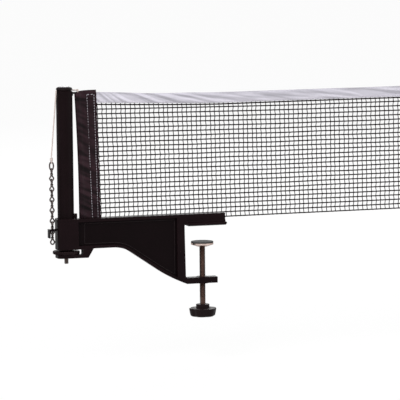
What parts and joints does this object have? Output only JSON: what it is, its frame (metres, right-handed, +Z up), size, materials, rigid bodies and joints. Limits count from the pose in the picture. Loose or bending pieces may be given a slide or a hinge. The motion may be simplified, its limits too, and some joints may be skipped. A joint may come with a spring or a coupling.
{
  "type": "table tennis net clamp",
  "caption": "Screw clamp for a table edge with a height-adjustable post, a tension chain and cord, and the end of a table tennis net.",
  "frame": {"origin": "on the clamp screw's axis, on the underside of the upper jaw's rubber pad, where the table top lies", "axes": "+X along the net towards the middle of the table, +Y away from the viewer of the front face, +Z up along the post"},
  "size_m": [0.4852, 0.0381, 0.2726],
  "materials": {
    "black_paint": "satin black powder coat",
    "black_plastic": "moulded, fine grain",
    "black_rubber": "matt",
    "brass": "turned",
    "plated_steel": "zinc plated, warm tone",
    "pad_steel": "pressed and plated",
    "bright_steel": "bright plated wire",
    "pale_cord": "braided",
    "dark_satin": "satin weave, stitched",
    "glass_fibre": "pultruded rod",
    "pale_tape": "folded cotton tape",
    "net_thread": "knotted thread"
  },
  "bodies": {
    "bracket": {"bracket_casting": "black_paint", "jaw_pad": "black_rubber", "post_guide_bush": "black_plastic", "stud_bush": "brass", "chain_link_1": "bright_steel", "chain_link_2": "bright_steel", "chain_link_3": "bright_steel", "chain_link_4": "bright_steel", "chain_link_5": "bright_steel", "chain_link_6": "bright_steel", "chain_link_7": "bright_steel", "connecting_ring": "bright_steel", "cord_knot": "pale_cord"},
    "pad_carrier": {"pressure_pad": "pad_steel", "pad_facing": "black_rubber", "retaining_washer": "plated_steel"},
    "clamp_screw": {"clamp_screw": "plated_steel", "screw_knob": "black_plastic", "knob_insert": "brass"},
    "wheel": {"thumbwheel": "black_plastic", "wheel_insert": "brass"},
    "post": {"post_tube": "black_paint", "post_cap": "black_plastic", "post_plug": "black_plastic", "adjusting_stud": "plated_steel", "tension_cord": "pale_cord", "end_sleeve": "dark_satin", "stiffener_rod": "glass_fibre", "net_tape": "pale_tape", "net_mesh": "net_thread", "far_sleeve": "dark_satin", "far_rod": "glass_fibre", "far_loop": "pale_cord"}
  },
  "joints": [
    {"name": "clamp_travel", "type": "slide", "parent": "bracket", "child": "pad_carrier", "axis": [0, 0, 1], "range_m": [-0.0345, 0.019]},
    {"name": "clamp_screw_turn", "type": "hinge", "parent": "pad_carrier", "child": "clamp_screw", "pos_m": [0, 0, -0.0258], "axis": [0, 0, 1], "range_deg": [-12480, 6900]},
    {"name": "wheel_turn", "type": "hinge", "parent": "bracket", "child": "wheel", "pos_m": [-0.1616, 0.0075, -0.0259], "axis": [0, 0, 1], "range_deg": [-2730, 1380]},
    {"name": "post_height", "type": "slide", "parent": "bracket", "child": "post", "axis": [0, 0, 1], "range_m": [-0.003, 0.006], "deforming": ["tension_cord"]}
  ],
  "couplings": [
    {"joint": "clamp_screw_turn", "follows": "clamp_travel", "rad_per_m": 6283.2},
    {"joint": "wheel_turn", "follows": "post_height", "rad_per_m": -7854}
  ]
}
